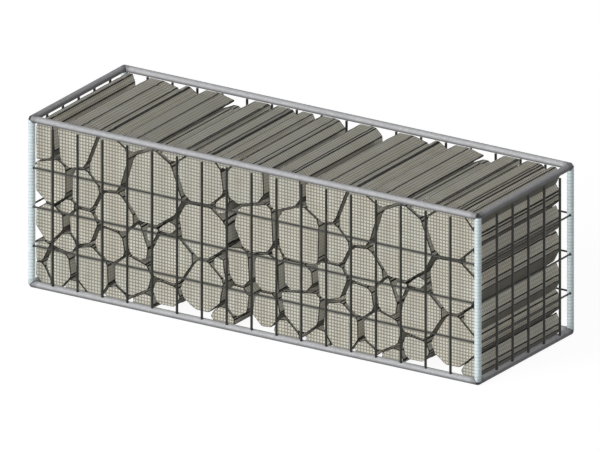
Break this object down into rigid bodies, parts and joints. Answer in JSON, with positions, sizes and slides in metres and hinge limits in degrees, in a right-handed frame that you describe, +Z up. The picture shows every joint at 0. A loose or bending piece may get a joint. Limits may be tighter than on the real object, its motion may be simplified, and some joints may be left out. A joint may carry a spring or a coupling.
{
  "type": "gabion wall",
  "caption": "Long box-shaped gabion wall: a tube-framed welded wire basket, open at the top, packed with rough many-sided stones that run from front to back.",
  "frame": {"origin": "on the ground, under the middle of the basket", "axes": "+X along the wall to the right as seen from the front, +Y from the front to the back, +Z up"},
  "size_m": [3, 1.01, 1.025],
  "materials": {
    "post_tube": "pale satin coat",
    "rail_tube": "galvanised, dull",
    "mesh_wire": "dark coated wire",
    "stone": "rough split stone"
  },
  "bodies": {
    "root": {"front_left_post": "post_tube", "front_right_post": "post_tube", "back_left_post": "post_tube", "back_right_post": "post_tube", "front_bottom_rail": "rail_tube", "front_top_rail": "rail_tube", "back_bottom_rail": "rail_tube", "back_top_rail": "rail_tube", "left_bottom_rail": "rail_tube", "left_top_rail": "rail_tube", "right_bottom_rail": "rail_tube", "right_top_rail": "rail_tube", "front_mesh": "mesh_wire", "back_mesh": "mesh_wire", "left_mesh": "mesh_wire", "right_mesh": "mesh_wire", "lower_stones_bay_1": "stone", "lower_stones_bay_2": "stone", "lower_stones_bay_3": "stone", "lower_stones_bay_4": "stone", "middle_stones_bay_1": "stone", "middle_stones_bay_2": "stone", "middle_stones_bay_3": "stone", "middle_stones_bay_4": "stone", "upper_stones_bay_1": "stone", "upper_stones_bay_2": "stone", "upper_stones_bay_3": "stone", "upper_stones_bay_4": "stone"}
  },
  "joints": []
}
